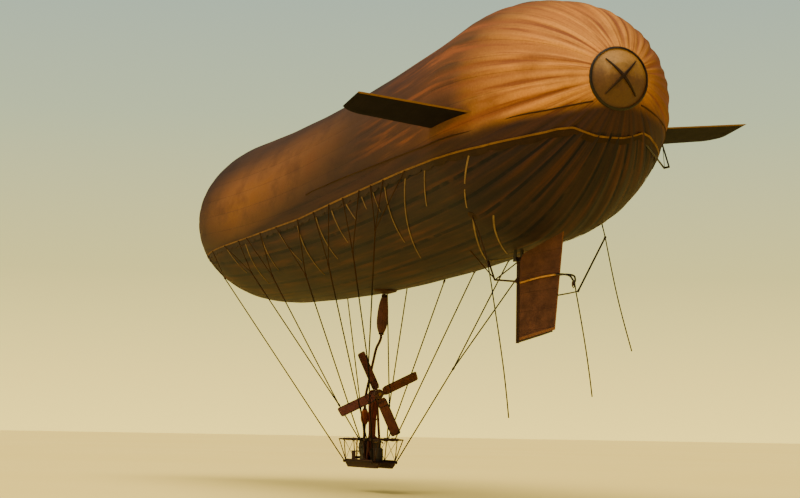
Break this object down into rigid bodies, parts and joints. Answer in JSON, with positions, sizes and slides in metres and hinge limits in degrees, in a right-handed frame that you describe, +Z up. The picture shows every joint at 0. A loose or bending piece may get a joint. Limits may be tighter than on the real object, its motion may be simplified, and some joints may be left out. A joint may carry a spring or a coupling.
{
  "type": "pressure airship, 1:2 scale model",
  "caption": "Long non-rigid airship hull with side fins and a rudder below; an open girder car with engine and propeller hangs from it on ropes.",
  "frame": {"origin": "on the hull's axis at mid-length, where the air holds the airship up", "axes": "+X to the nose, +Y to port, +Z up"},
  "size_m": [24.022, 7.46, 8.4756],
  "materials": {
    "rubbered_canvas": "golden varnished balloon cloth, darker brown below",
    "belt_canvas": "pale tan webbing",
    "fin_cloth": "nearly black brown stretched cloth",
    "rudder_cloth": "red-brown stretched cloth",
    "sleeve_canvas": "orange-brown canvas",
    "hemp_rope": "tarred hemp",
    "ash_wood": "varnished ash",
    "mast_wood": "dark stained wood",
    "dark_iron": "black japanned iron",
    "cast_engine": "cast iron",
    "red_enamel": "red enamel",
    "brass_fittings": "dull brass",
    "blade_paint": "red-brown paint"
  },
  "bodies": {
    "airframe": {"envelope": "rubbered_canvas", "valve_ring": "dark_iron", "valve_plate": "rubbered_canvas", "valve_cross": "ash_wood", "girdle_belt": "belt_canvas", "fin_port": "fin_cloth", "fin_starboard": "fin_cloth", "rudder_bearing": "dark_iron", "rudder_boom": "ash_wood", "duct_collar": "ash_wood", "air_sleeve": "sleeve_canvas", "air_pipe": "dark_iron", "blower_case": "dark_iron", "car_floor": "ash_wood", "car_side_port": "ash_wood", "car_side_starboard": "ash_wood", "car_end_front": "ash_wood", "car_end_rear": "ash_wood", "skid_port": "ash_wood", "skid_starboard": "ash_wood", "mast": "mast_wood", "drive_case": "red_enamel", "engine": "cast_engine", "fuel_tank": "red_enamel", "bench": "ash_wood", "steering_column": "brass_fittings", "rope_patch_port": "belt_canvas", "rope_patch_starboard": "belt_canvas", "handling_rope_port": "hemp_rope", "handling_rope_starboard": "hemp_rope", "ropes_1_port": "hemp_rope", "ropes_1_starboard": "hemp_rope", "ropes_2_port": "hemp_rope", "ropes_2_starboard": "hemp_rope", "ropes_3_port": "hemp_rope", "ropes_3_starboard": "hemp_rope", "ropes_4_port": "hemp_rope", "ropes_4_starboard": "hemp_rope"},
    "propeller": {"propeller_hub": "dark_iron", "propeller_blade_1": "blade_paint", "propeller_blade_2": "blade_paint", "propeller_blade_3": "blade_paint", "propeller_blade_4": "blade_paint"},
    "rudder": {"rudder_post": "ash_wood", "rudder_panel": "rudder_cloth", "rudder_bow": "ash_wood", "handling_rope_middle": "hemp_rope"}
  },
  "joints": [
    {"name": "propeller_spin", "type": "hinge", "parent": "airframe", "child": "propeller", "pos_m": [-0.12, 0, -4.415], "axis": [1, 0, 0], "continuous": true},
    {"name": "rudder_steer", "type": "hinge", "parent": "airframe", "child": "rudder", "pos_m": [-7.8, 0, -2.8], "axis": [0, 0, 1], "range_deg": [-25, 25]}
  ]
}
